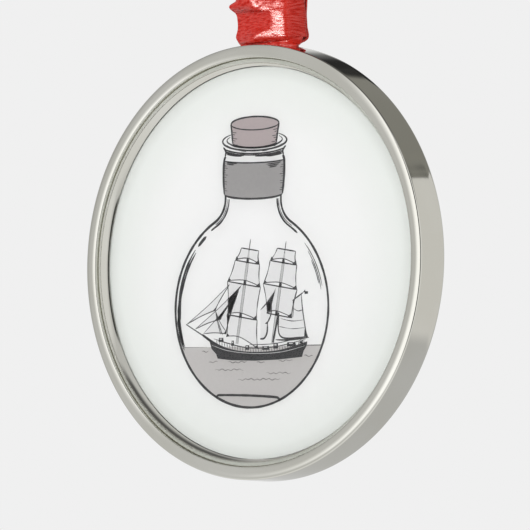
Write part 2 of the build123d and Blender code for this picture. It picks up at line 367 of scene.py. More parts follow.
def make_world():
    """Even pale studio for the camera, and for what the metal and the satin mirror a
    room with brighter and darker parts."""
    world = bpy.data.worlds.new("studio")
    bpy.context.scene.world = world
    world.use_nodes = True
    tree = world.node_tree
    looked = add_node(tree, "ShaderNodeTexCoord").outputs["Generated"]
    # The soft box leans: its left edge passes through these two directions.
    slant = direction(-12, 30).cross(direction(-31, -10)).normalized()
    slant *= 1 if slant.dot(direction(20, 0)) > 0 else -1
    front, behind, right = (0, -1, 0), (0, 1, 0), (1, 0, 0)
    up, down = (0, 0, 1), (0, 0, -1)
    # Later patches cover earlier ones.
    patches = (
        # upper left a little darker; pale floor and pale wall on the camera's side
        (grey(0.55), cone(direction(-85, 25), 15, 45)),
        (grey(1.0), (down, 0.35, 0.7), (front, -0.45, -0.1)),
        (grey(1.02), cone(direction(80, 0), 30, 45)),
        # tall soft box to the left of the front
        (
            (1.6, 1.6, 1.62),
            (slant, -0.22, 0.06),
            (direction(-86, 0), -0.02, 0.03),
            (front, 0.1, 0.3),
            (down, -0.78, -0.70),
            (up, -0.30, -0.15),
        ),
        # dark part of the room beside the camera
        (
            grey(0.06),
            (direction(86, 0), -0.02, 0.02),
            (direction(-54, 0), -0.03, 0.03),
            (front, 0.1, 0.3),
            (down, -0.5, -0.4),
            (up, -0.4, -0.3),
        ),
        # behind: darker low down, a dark ceiling, and an olive part at its right
        (grey(0.64), (behind, 0.45, 0.6), (down, 0.1, 0.3)),
        (grey(0.13), (behind, -0.1, 0.5), (up, 0.33, 0.46)),
        (grey(0.13), (behind, -0.6, -0.2), (up, 0.72, 0.88)),
        ((0.31, 0.305, 0.28), (behind, 0.45, 0.65), (up, 0.468, 0.478), (right, -0.36, -0.2)),
        # pale wall behind to the right, with a clear upper edge
        (
            (0.88, 0.87, 0.86),
            (behind, 0.5, 0.6),
            (right, 0.35, 0.42),
            (down, -0.478, -0.468),
            (up, -0.46, -0.38),
        ),
        # small things behind: two black to the left, two dark and one beige to the right
        (grey(0.03), cone((-0.36, 0.77, 0.50), 3, 7)),
        (grey(0.03), cone((-0.27, 0.77, 0.56), 2, 5)),
        (grey(0.08), cone((0.47, 0.70, 0.545), 1.5, 3)),
        (grey(0.05), cone((0.51, 0.70, 0.51), 1.5, 3)),
        ((0.60, 0.52, 0.38), cone((0.41, 0.70, 0.585), 0.7, 1.8)),
    )
    colour = (*grey(0.76), 1)
    for patch, *edges in patches:
        inputs = {0: region(tree, looked, edges), 6: colour, 7: (*patch, 1)}
        colour = add_node(tree, "ShaderNodeMix", inputs, data_type="RGBA").outputs[2]
    background = tree.nodes["Background"]
    connect(tree, background, {"Color": colour})
    seen = add_node(tree, "ShaderNodeBackground", {"Color": (*grey(BACKDROP), 1)})
    camera_ray = add_node(tree, "ShaderNodeLightPath").outputs["Is Camera Ray"]
    inputs = {0: camera_ray, 1: background.outputs[0], 2: seen.outputs[0]}
    both = add_node(tree, "ShaderNodeMixShader", inputs)
    connect(tree, tree.nodes["World Output"], {"Surface": both.outputs[0]})


def soft_light(name, azimuth, elevation, width, height, brightness, mirrored):
    """Upright soft light at a distance, its width and height in degrees as seen from the
    disc, with the given brightness against a white card's 1. It either shows as a
    reflection or lights the matt surfaces."""
    away = 450
    data = bpy.data.lights.new(name, "AREA")
    data.shape = "RECTANGLE"
    data.size = 2 * away * math.tan(math.radians(width / 2)) * MM
    data.size_y = 2 * away * math.tan(math.radians(height / 2)) * MM
    data.energy = brightness * math.pi * data.size * data.size_y
    light = bpy.data.objects.new(name, data)
    toward = direction(azimuth, elevation)
    light.location = (Vector((0, 0, DISC_Z)) + toward * away) * MM
    light.rotation_mode = "QUATERNION"
    light.rotation_quaternion = toward.to_track_quat("Z", "Y")
    light.visible_camera = False
    light.visible_glossy = mirrored
    light.visible_diffuse = not mirrored
    bpy.context.scene.collection.objects.link(light)
    return light


def make_stage(satin_pieces):
    """Pale floor well below the hanging ornament, plain view and soft lights. One of the
    lights only shows on the satin pieces."""
    floor_z, floor_radius, sides = DISC_Z - 250, 900, 96
    points = [
        (floor_radius * math.cos(a), floor_radius * math.sin(a), floor_z)
        for a in (2 * math.pi * i / sides for i in range(sides))
    ]
    floor = mesh_object("floor", points, [list(range(sides))], pale_floor(), body=None)
    floor.visible_glossy = False
    make_world()
    shine = soft_light("satin_shine", -16, 10, 12, 36, 36.0, mirrored=True)
    shine.light_linking.receiver_collection = satin_pieces
    soft_light("key_light", -5, 16, 12, 44, 9.3, mirrored=False)
    soft_light("fill_light", 42, 8, 44, 44, 0.6, mirrored=False)
    scene = bpy.context.scene
    scene.view_settings.view_transform = "Standard"
    scene.view_settings.look = "None"


# ---- frame --------------------------------------------------------------------------
FRONT_RADIUS = FRAME_RADIUS - 0.25  # the band narrows to the front
FRONT_CORNER, REAR_CORNER = 0.25, 0.7
BEAD_INNER, BEAD_INNER_CORNER = 26.9, 0.15
BEAD_SLOPE = math.radians(12)
GROOVE_DEPTH, GROOVE_WIDTH = 0.62, 0.13
COVE_HOLLOW = 0.09
SEAT_CLEARANCE = 0.07
FACE_RIM = -3.31
WEB_FRONT, WEB_REAR = -2.55, -2.0
BACK_RADIUS = 25.2
BAR_FRONT = -1.05
SLOT_WIDTH, SLOT_LENGTH, SLOT_DEPTH = 0.9, 13.5, 4.0
SEAT_RADIUS = FACE_RADIUS + SEAT_CLEARANCE


def bead_profile(band_radius, crest, corner, seat, way):
    """(radius, y) points from the band inwards: corner, crowned bead, groove, cove.
    crest is the bead's highest y, the cove ends at the point seat, and way is -1 in
    front and +1 behind."""
    rise, run = math.cos(BEAD_SLOPE), math.sin(BEAD_SLOPE)
    outer = band_radius - corner
    inner = BEAD_INNER + BEAD_INNER_CORNER
    half_chord = (outer + corner * run - inner + BEAD_INNER_CORNER * run) / 2
    bead_radius = half_chord / run
    level = crest - way * (bead_radius - bead_radius * rise)  # where the bead's arc ends
    edge = level - way * corner * rise
    wall = level - way * BEAD_INNER_CORNER * rise
    slope = math.degrees(BEAD_SLOPE)
    points = arc((outer, edge), corner, way * corner, 0, 90 - slope, 10)
    middle = (points[-1][0] - half_chord, crest - way * bead_radius)
    points += arc(middle, bead_radius, way * bead_radius, 90 - slope, 90 + slope, 10)[1:]
    small = BEAD_INNER_CORNER
    points += arc((inner, wall), small, way * small, 90 + slope, 180, 8)[1:]
    floor = level - way * GROOVE_DEPTH
    cove = (BEAD_INNER - GROOVE_WIDTH, floor + way * GROOVE_WIDTH)
    points += [(BEAD_INNER, floor), cove]
    middle = [(a + b) / 2 for a, b in zip(cove, seat)]
    control = (middle[0] + 2 * COVE_HOLLOW, middle[1] - way * 2 * COVE_HOLLOW)
    steps = 16
    for i in range(1, steps + 1):
        t = i / steps
        shares = ((1 - t) ** 2, 2 * t * (1 - t), t * t)
        ends = zip(cove, control, seat)
        points.append(tuple(sum(w * v for w, v in zip(shares, values)) for values in ends))
    return points


def make_frame(material):
    """The cast ring, finely divided so that its polish reads, with the ribbon's slot."""
    spokes, band_steps, web_radii = 360, 6, (18, 9)
    front = bead_profile(FRONT_RADIUS, FRONT, FRONT_CORNER, (SEAT_RADIUS, FACE_RIM), -1)
    rear = bead_profile(FRAME_RADIUS, REAR, REAR_CORNER, (BACK_RADIUS, WEB_REAR), 1)
    web = [(r, WEB_FRONT) for r in (SEAT_RADIUS, *web_radii, 0)]
    web += [(r, WEB_REAR) for r in (0, *web_radii[::-1])]
    band = straight(rear[0], front[0], band_steps)[1:-1]
    profile = front + web + rear[::-1] + band
    ring_piece = revolved("frame_casting", profile, spokes, True, material)
    half, radius = SLOT_LENGTH / 2 - SLOT_WIDTH / 2, SLOT_WIDTH / 2
    middle_y = BAR_FRONT - radius
    outline = arc((half, middle_y), radius, radius, -90, 90, 12)
    outline += arc((-half, middle_y), radius, radius, 90, 270, 12)
    low, high = BAND_TOP - SLOT_DEPTH, BAND_TOP + 1
    count = len(outline)
    cutter_points = [(x, y, z) for z in (low, high) for x, y in outline]
    cutter_faces = [list(range(count))[::-1], list(range(count, 2 * count))]
    for i, j in enumerate([*range(1, count), 0]):
        cutter_faces.append([i, j, j + count, i + count])
    cutter = mesh_object("slot_cutter", cutter_points, cutter_faces, material, None)
    cut = ring_piece.modifiers.new("slot", "BOOLEAN")
    cut.object = cutter
    cut.solver = "EXACT"
    graph = bpy.context.evaluated_depsgraph_get()
    made = bpy.data.meshes.new_from_object(ring_piece.evaluated_get(graph))
    ring_piece.modifiers.clear()
    ring_piece.data = made
    bpy.data.objects.remove(cutter)
    made.polygons.foreach_set("use_smooth", [True] * len(made.polygons))
    made.set_sharp_from_angle(angle=math.radians(28))
    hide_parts("frame")


# ---- the print ----------------------------------------------------------------------
class Ink:
    """Flat ink shapes in millimetres from the disc's centre, made into one thin mesh
    that stands between two heights on the white face. place, if it is given, moves the
    drawn points to where they belong on the face."""

    def __init__(self, low, high, place=list):
        self.low, self.high, self.place = low, high, place
        self.points, self.faces = [], []

    def _levels(self, outline):
        """Adds an outline at both heights. Returns the two lists of indices."""
        start, count = len(self.points), len(outline)
        for height in (self.high, self.low):
            for u, v in outline:
                self.points.append((u, WHITE_FRONT - height, DISC_Z + v))
        front = list(range(start, start + count))
        return front, [i + count for i in front]

    def _walls(self, front, back):
        for i in range(len(front)):
            j = (i + 1) % len(front)
            self.faces.append((front[i], back[i], back[j], front[j]))

    def area(self, outline):
        """A filled outline, anticlockwise or not."""
        outline = self.place(outline)
        turn = sum(a[0] * b[1] - b[0] * a[1] for a, b in zip(outline, outline[1:] + outline[:1]))
        if turn < 0:
            outline = outline[::-1]
        front, back = self._levels(outline)
        for tri in tessellate_polygon([[Vector((*p, 0)) for p in outline]]):
            a, b, c = (outline[i] for i in tri)
            across = (b[0] - a[0]) * (c[1] - a[1]) - (c[0] - a[0]) * (b[1] - a[1])
            tri = tri if across > 0 else tri[::-1]
            self.faces.append(tuple(front[i] for i in tri))
            self.faces.append(tuple(back[i] for i in reversed(tri)))
        self._walls(front, back)

    def stroke(self, line, width, start=0.25, end=0.25, wobble=0.12):
        """A pen line along points, with its ends thinned to a share of its width."""
        line = self.place(line)
        count = len(line)
        taper = 6  # each end thins over a sixth of the line
        left, right = [], []
        for i, (u, v) in enumerate(line):
            before, after = line[max(i - 1, 0)], line[min(i + 1, count - 1)]
            du, dv = after[0] - before[0], after[1] - before[1]
            length = math.hypot(du, dv) or 1
            t = i / (count - 1)
            first = start + (1 - start) * t * taper
            ends = min(1, first, end + (1 - end) * (1 - t) * taper)
            pressure = 1 + wobble * math.sin(1.7 * u + 2.3 * v) * math.cos(0.9 * v - 1.3 * u)
            half = width / 2 * ends * pressure
            left.append((u - dv / length * half, v + du / length * half))
            right.append((u + dv / length * half, v - du / length * half))
        front_l, back_l = self._levels(left)
        front_r, back_r = self._levels(right)
        for i, j in zip(range(count - 1), range(1, count)):
            self.faces += [
                (front_l[i], front_r[i], front_r[j], front_l[j]),
                (back_l[i], back_l[j], back_r[j], back_r[i]),
                (front_l[i], front_l[j], back_l[j], back_l[i]),
                (front_r[i], back_r[i], back_r[j], front_r[j]),
            ]
        self.faces.append((front_l[0], back_l[0], back_r[0], front_r[0]))
        self.faces.append((front_l[-1], front_r[-1], back_r[-1], back_l[-1]))

    def curve(self, points, width, **ends):
        self.stroke(smooth_line(points), width, **ends)

    def make(self, name, material, slot, *nodes):
        made = mesh_object(name, self.points, self.faces, material)
        if nodes:
            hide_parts(*nodes)


# This picture keeps close to the one that it stands for, and needs a design of its own
# before the part is used.
TINT = (0.0, 0.012)  # heights of light ink above the white coat
LINES = (0.0, 0.022)  # dark ink covers it
FINE = (0.0, 0.026)

LEAN = math.radians(-1.8)
BOTTLE_MIDDLE = -0.6


def beside(point, *offsets):
    """Points at offsets from a point."""
    return [(point[0] + du, point[1] + dv) for du, dv in offsets]


def midway(a, b, du=0.0, dv=0.0):
    """The point midway between two, moved by an offset."""
    return ((a[0] + b[0]) / 2 + du, (a[1] + b[1]) / 2 + dv)


def leaned(points):
    """From the bottle's own axis to the face, as the drawn bottle leans a little."""
    c, s = math.cos(LEAN), math.sin(LEAN)
    return [(BOTTLE_MIDDLE + u * c - v * s, u * s + v * c) for u, v in points]


BODY_RADIUS = 13.1
BODY_HEIGHT = -6.0
NECK_HALF = 4.75
SHOULDER_RADIUS = 3.5
SEA_LEVEL = -11.05
SHOULDER_X = NECK_HALF + SHOULDER_RADIUS
SHOULDER_Z = BODY_HEIGHT + math.sqrt((BODY_RADIUS + SHOULDER_RADIUS) ** 2 - SHOULDER_X**2)
JOIN_ANGLE = math.degrees(math.atan2(SHOULDER_Z - BODY_HEIGHT, SHOULDER_X))


def bottle_side(way, inset=0.0, top=8.9, stop=-90.0):
    """One side of the bottle from its neck down, inset from its outline. It ends at an
    angle of the round body, where -90 is the bottom."""
    neck = straight((NECK_HALF - inset, top), (NECK_HALF - inset, SHOULDER_Z), 5)
    curl = SHOULDER_RADIUS + inset
    shoulder = arc((SHOULDER_X, SHOULDER_Z), curl, curl, 180, 180 + JOIN_ANGLE, 16)
    reach = BODY_RADIUS - inset
    body = arc((0, BODY_HEIGHT), reach, reach, JOIN_ANGLE, stop, 60)
    return [(way * u, v) for u, v in [*neck, *shoulder[1:], *body[1:]]]


def body_line(way, inset, start, end, count=30):
    """Part of a line inside the round body, from one angle to another."""
    reach = BODY_RADIUS - inset
    return [(way * u, v) for u, v in arc((0, BODY_HEIGHT), reach, reach, start, end, count)]


CORK_TOP, CORK_FOOT = 18.35, 15.9
CORK_HALF, CORK_FOOT_HALF = 4.1, 3.75


def draw_cork(tint, lines, fine):
    """Cork with its round top, shaded at both sides by short strokes."""
    top = arc((0, CORK_TOP), CORK_HALF, 0.95, 0, 180)
    foot = arc((0, CORK_FOOT), CORK_FOOT_HALF, 0.72, 180, 360)
    tint.area(top + foot)
    lines.stroke(top, 0.24, start=0.8, end=0.8)
    lines.stroke(arc((0, CORK_TOP), CORK_HALF, 0.82, 180, 360), 0.17)
    for way in (-1, 1):
        side = straight((way * CORK_HALF, CORK_TOP), (way * CORK_FOOT_HALF, CORK_FOOT))
        lines.stroke(side, 0.26, start=1, end=0.6)
        for i in range(9):
            height = CORK_TOP - 0.75 - i * 0.27
            edge = CORK_HALF - 0.15 * (CORK_TOP - height)
            reach = 0.55 + 0.35 * math.sin(2.1 * i + way)
            sag = -0.25
            marks = ((0, 0), (0.5, 0.3), (1, 0.5))
            line = [(way * (edge - reach * a), height + sag * b) for a, b in marks]
            fine.curve(line, 0.09, end=0.1)
    lines.stroke(arc((0, CORK_FOOT + 0.1), 3.9, 0.8, 184, 356), 0.2)


def draw_lip(lines, fine):
    """Rolled glass lip round the cork, drawn as nested rings, and the collar below it."""
    rings = (
        (16.1, 5.5, 1.3, 138, 402, 0.25),
        (16.2, 4.75, 0.98, 152, 388, 0.19),
        (15.95, 4.4, 0.85, 196, 344, 0.15),
        (15.45, 5.45, 1.05, 190, 350, 0.2),
        (15.15, 5.3, 0.95, 196, 344, 0.15),
        (14.95, 5.2, 0.85, 198, 250, 0.2),
        (14.85, 5.15, 0.8, 272, 342, 0.2),
        (14.6, 4.95, 0.6, 196, 244, 0.15),
        (14.5, 4.9, 0.55, 296, 346, 0.17),
    )
    for height, half, drop, start, end, width in rings:
        lines.stroke(arc((0, height), half, drop, start, end, 40), width, 0.4, 0.4)
    for way in (-1, 1):
        lines.curve([(way * 5.35, 15.35), (way * 4.9, 14.75), (way * 5.0, 14.1)], 0.24)
        for i in range(6):
            start = 200 + i * 8 if way < 0 else 340 - i * 8
            mark = arc((0, 16.0 - i * 0.04), 5.1 - i * 0.1, 1.15, start, start - way * 13, 6)
            fine.stroke(mark, 0.1, end=0.1)


BAND_HALF, BAND_FOOT_HALF = 5.15, 5.0
BAND_TOP_Z, BAND_FOOT_Z = 13.6, 9.1


def draw_neck_band(tint, lines, fine):
    """Grey band round the neck, with dark sides and a few strokes at its upper edge."""
    top = arc((0, BAND_TOP_Z), BAND_HALF, 0.42, 180, 360)
    foot = arc((0, BAND_FOOT_Z), BAND_FOOT_HALF, 0.68, 360, 180)
    tint.area(top + foot)
    lines.stroke(top, 0.2)
    lines.stroke(foot, 0.26)
    for way in (-1, 1):
        side = [
            (way * (BAND_HALF - 0.25), BAND_TOP_Z + 0.5),
            (way * BAND_HALF, BAND_TOP_Z - 0.1),
            (way * (BAND_HALF + 0.05), 11.4),
            (way * BAND_FOOT_HALF, BAND_FOOT_Z),
        ]
        lines.curve(side, 0.34, start=0.5, end=0.5)
        for i in range(13):
            height = 12.9 - i * 0.3
            reach = 0.45 + 0.25 * math.sin(1.9 * i)
            edge = BAND_HALF - 0.02
            mark = straight((way * edge, height), (way * (edge - reach), height - 0.08))
            fine.stroke(mark, 0.08, end=0.1)
    for i in range(3):
        mark = arc((0.2, 13.45 - i * 0.22), 4.9 - i * 0.2, 0.55, 292 + i * 5, 335 - i * 4, 14)
        lines.stroke(mark, 0.16, start=0.1, end=0.3)
    for i in range(2):
        mark = arc((-0.1, 13.5 - i * 0.2), 4.9, 0.45, 200, 236 - i * 8, 12)
        lines.stroke(mark, 0.17, end=0.1)


def draw_glass(lines, fine):
    """The bottle's outline, with a second line inside it for the wall of the glass."""
    lines.stroke(bottle_side(-1), 0.36, start=0.8, end=0.9)
    lines.stroke(bottle_side(1), 0.32, start=0.8, end=0.9)
    lines.stroke(bottle_side(-1, 0.62, 8.4, 55), 0.26, start=0.4)
    lines.stroke(bottle_side(1, 0.62, 8.3, 52), 0.26, start=1.0)
    fine.stroke(bottle_side(-1, 0.36, 8.2, 60), 0.11)
    fine.stroke(bottle_side(1, 0.36, 6.8, 58), 0.1)
    left_marks = (
        (0.72, 50, 41, 0.42),
        (0.62, 38, -26, 0.34),
        (0.95, 37, 8, 0.26),
        (0.85, 16, -8, 0.24),
        (0.50, 2, -24, 0.30),
        (0.38, -6, -27, 0.34),
    )
    for inset, start, end, width in left_marks:
        lines.stroke(body_line(-1, inset, start, end), width, start=0.2, end=0.2)
    for inset, start, end in ((0.75, 44, 14), (1.0, 38, 12), (1.2, 32, 16)):
        fine.stroke(body_line(1, inset, start, end), 0.12)
    foot = [(-5.55, -18.05), (-5.3, -17.72), (-4.6, -17.6), (0, -17.52)]
    foot += [(4.4, -17.6), (5.2, -17.78), (5.45, -18.1)]
    lines.curve(foot, 0.32, start=0.7, end=0.7)


def sea_outline():
    """The part of the round body below sea level, which stays level."""
    middle_u, middle_v = leaned([(0, BODY_HEIGHT)])[0]
    reach = BODY_RADIUS - 0.1
    dip = math.degrees(math.asin((middle_v - SEA_LEVEL) / reach))
    return arc((middle_u, middle_v), reach, reach, 180 + dip, 360 - dip, 64)


def draw_sea(tint, fine):
    """Grey water with rows of small waves."""
    outline = sea_outline()
    tint.area(outline)
    fine.stroke([outline[0], (-8.3, SEA_LEVEL)], 0.12, start=1)
    fine.stroke([(8.7, SEA_LEVEL), outline[-1]], 0.16, start=1, end=1)
    waves = (
        (-8.0, -13.05, 1.6),
        (-4.6, -13.1, 3.2),
        (0.3, -13.2, 1.4),
        (4.0, -13.0, 2.4),
        (-6.9, -14.1, 5.0),
        (1.9, -14.6, 4.2),
        (-2.9, -15.4, 7.2),
        (8.3, -12.4, 1.5),
        (-9.2, -11.6, 1.2),
    )
    for start, height, length in waves:
        steps = max(8, int(length * 7))
        line = []
        for i in range(steps + 1):
            out = length * i / steps
            rise = 0.075 * math.sin(6.2 * out) + 0.05 * math.sin(2.3 * out + start)
            line.append((start + out, height + rise))
        fine.stroke(line, 0.115, start=0.2, end=0.2, wobble=0.35)


MASTS = {"fore": ((-3.1, -10.7), (-0.75, 3.1)), "main": ((3.0, -10.7), (5.3, 2.6))}
YARD_TILT = math.radians(-9.5)
# Yards of each mast: how far below the truck, and half lengths left and right.
YARDS = {
    "fore": ((1.35, 1.35, 1.65), (3.1, 2.15, 2.1), (6.05, 3.0, 2.75), (10.4, 2.35, 2.9)),
    "main": ((1.1, 1.3, 1.8), (2.85, 2.25, 2.3), (6.0, 2.9, 2.9), (9.75, 1.7, 2.7)),
}


def on_mast(mast, below):
    heel, truck = MASTS[mast]
    length = math.dist(heel, truck)
    return tuple(t + (h - t) * below / length for h, t in zip(heel, truck))


def yard_ends(mast, below, left, right):
    """Both ends of a yard and the point where it crosses its mast."""
    u, v = on_mast(mast, below)
    du, dv = math.cos(YARD_TILT), math.sin(YARD_TILT)
    return (u - du * left, v - dv * left), (u, v), (u + du * right, v + dv * right)


def draw_square_sails(tint, mast_tint, lines, fine, mast, foot):
    """The square sails of one mast. Each sail hangs from its yard to just above the next,
    and its foot is an arch."""
    rows = [yard_ends(mast, *row) for row in YARDS[mast]]
    lower = rows[1:] + ([foot] if foot else [])
    lift = 0.55
    for (left, _, right), (low_left, low_middle, low_right) in zip(rows, lower):
        arch = beside(low_left, (0.15, 0.12)) + beside(low_middle, (0, lift))
        arch = smooth_line(arch + beside(low_right, (-0.15, 0.15)))
        tint.area([left, *arch, right])
        fine.stroke(arch, 0.12, start=0.6, end=0.9)
        for top, end, way in ((left, arch[0], -1), (right, arch[-1], 1)):
            bend = midway(top, end, -way * 0.12)
            fine.curve([top, bend, end], 0.13, start=0.6, end=1.0, wobble=0.45)
        lines.area(beside(low_right, (0, 0), (-0.75, 0.22), (-0.15, 0.6)))
        lines.area(beside(low_left, (0, 0), (0.7, 0.08), (0.22, 0.5)))
    for row in rows:
        lines.curve(row, 0.17, start=0.5, end=0.4)
    for _, sling, _ in lower[:-1] if foot else lower:
        lines.area(beside(sling, (-0.2, -0.1), (0.18, -0.12), (0.2, 0.5), (-0.12, 0.5)))
    heel, truck = MASTS[mast]
    mast_tint.stroke(straight(on_mast(mast, 1.4), heel, 12), 0.42, start=0.5, end=1, wobble=0)
    fine.stroke(straight(truck, on_mast(mast, 1.6)), 0.1, start=0.2, end=1)
    for side in (-0.2, 0.2):
        edge = [(u + side, v) for u, v in straight(on_mast(mast, 2.4), heel, 12)]
        fine.stroke(edge, 0.045, wobble=0.5)


def draw_headsails(tint, lines, fine):
    """Bowsprit, stays and three jibs with dark clews."""
    lines.stroke(straight((-7.5, -10.35), (-9.2, -9.35)), 0.34, end=0.5)
    fine.stroke(straight((-9.0, -9.5), (-12.0, -7.95)), 0.15, start=1, end=0.6)
    jibs = (
        ((-11.95, -7.98), (-4.35, -2.75), (-6.95, -6.15)),
        ((-10.4, -8.62), (-2.3, -2.95), (-6.0, -7.35)),
        ((-8.95, -9.25), (-2.75, -3.6), (-5.1, -9.3)),
    )
    for tack, head, clew in jibs:
        luff = [tack, midway(tack, head, 0.1, -0.12), head]
        leech = [head, midway(head, clew, -0.18, -0.1), clew]
        foot = [clew, midway(tack, clew, 0, 0.12), tack]
        edges = (luff, leech, foot)
        tint.area([point for edge in edges for point in smooth_line(edge, 6)[:-1]])
        for edge, width in zip(edges, (0.085, 0.12, 0.12)):
            fine.curve(edge, width)
        lean = Vector((head[0] - clew[0], head[1] - clew[1])).normalized()
        away = Vector((tack[0] - clew[0], tack[1] - clew[1])).normalized()
        patch = ((0.12, -0.08), lean * 0.75, (away.x * 0.2, away.y * 0.2 + 0.1), away)
        lines.area(beside(clew, *patch))
    for end in ((-5.9, -9.4), (-5.0, -9.0), (-5.6, -9.5)):
        fine.curve([(-6.8, -6.3), ((-6.8 + end[0]) / 2 - 0.1, -7.8), end], 0.09, wobble=0.5)


def draw_fore_and_aft(tint, lines, fine):
    """Staysail between the masts and the gaff sail on the main mast."""
    staysail = smooth_line([(3.5, -3.7), (2.9, -5.6), (2.2, -7.9)], 6)
    tint.area([(0.95, -10.0), (0.95, -6.2), (2.4, -4.9), *staysail, (1.6, -9.9)])
    lines.area([(3.55, -3.45), (2.7, -4.9), (2.35, -5.4), (2.95, -5.2), (3.2, -4.3)])
    fine.stroke(straight((3.3, -4.4), (0.95, -6.3)), 0.15)
    fine.curve([(2.75, -5.2), (2.75, -6.8), (2.15, -8.0)], 0.2)
    fine.curve([(2.15, -8.1), (2.05, -9.3), (1.6, -10.0), (0.9, -10.1)], 0.24, end=0.6)
    lines.area([(1.7, -8.1), (2.3, -7.7), (2.2, -8.2)])
    gaff_sail = [(6.45, -5.15), (7.9, -4.5), (8.15, -6.6), (8.65, -9.6), (7.4, -9.95)]
    tint.area([*gaff_sail, (5.4, -10.05), (4.2, -9.7), (3.95, -8.3), (4.1, -7.1), (6.5, -7.4)])
    lines.stroke(straight((6.35, -5.2), (8.2, -4.15)), 0.17)
    fine.curve([(7.85, -4.4), (8.05, -6.4), (8.5, -8.8), (8.75, -9.8)], 0.15, end=1)
    for height, start, end in ((-6.2, 6.5, 8.0), (-7.5, 4.4, 8.2), (-8.5, 4.0, 8.4)):
        middle = ((start + end) / 2, height - 0.35)
        fine.curve([(start, height), middle, (end, height - 0.25)], 0.085, wobble=0.6)
    fine.curve([(6.45, -5.1), (6.5, -6.3), (6.4, -7.4)], 0.12)
    lines.curve([(4.1, -7.1), (3.95, -8.6), (4.3, -9.75), (5.6, -10.1), (8.8, -9.9)], 0.2)
    lines.curve([(3.5, -10.25), (6.0, -10.3), (9.1, -10.02)], 0.2, end=0.4)
    lines.area([(8.4, -8.9), (8.55, -9.0), (8.95, -10.0), (8.3, -9.95)])
    lines.stroke(straight((4.05, -6.7), (3.05, -10.6)), 0.3, start=0.6, end=0.8)
    fine.stroke(straight((8.2, -4.15), (8.5, -3.85)), 0.12)
    lines.area([(8.35, -4.0), (8.95, -4.05), (8.95, -4.35), (8.4, -4.4)])


def draw_hull(lines, light, fine):
    """Dark hull with a pale line along it, rails and plain deck shapes above."""
    sheer = [(-8.0, -9.9), (-5.0, -11.15), (-1.0, -11.75), (4.0, -11.6), (8.8, -10.55)]
    bottom = [(8.75, -11.1), (8.2, -11.8), (7.95, -12.55), (4.0, -12.85), (0, -12.95)]
    bottom += [(-4.0, -12.85), (-6.45, -12.6), (-6.7, -12.0), (-7.5, -11.3)]
    lines.area([*smooth_line(sheer), *bottom])
    light.curve([(-7.6, -10.75), (-4.5, -11.6), (0, -12.0), (4.5, -11.85), (8.5, -11.1)], 0.07)
    rail = [(-7.1, -9.95), (-4.6, -10.6), (-1.0, -11.25), (3.5, -11.15), (8.6, -10.25)]
    fine.curve(rail, 0.13)
    fine.curve([(u, v + 0.42) for u, v in rail[2:]], 0.1)
    for i in range(34):
        u = -6.6 + i * 0.45
        t = min(max((u + 7.1) / 15.7, 0), 1)
        v = -9.95 - 5.2 * t * (1 - t) - 0.3 * t
        fine.stroke(straight((u, v + 0.05), (u + 0.04, v - 0.55), 2), 0.085, wobble=0)
    deck = (
        (-6.3, -10.2, 0.9, 0.35),
        (-4.1, -10.75, 0.5, 0.5),
        (-1.7, -11.3, 0.75, 0.4),
        (1.2, -11.35, 1.3, 0.3),
        (3.1, -11.2, 0.85, 0.55),
        (5.4, -10.95, 1.5, 0.35),
        (7.5, -10.6, 0.6, 0.3),
    )
    for u, v, wide, high in deck:
        lines.area(beside((u, v), (0, -0.2), (wide, -0.2), (wide * 0.92, high), (0.1, high)))
        corners = ((0.25, 0.35), (0.7, 0.35), (0.65, 0.75), (0.3, 0.75))
        light.area(beside((u, v), *((wide * a, high * b) for a, b in corners)))


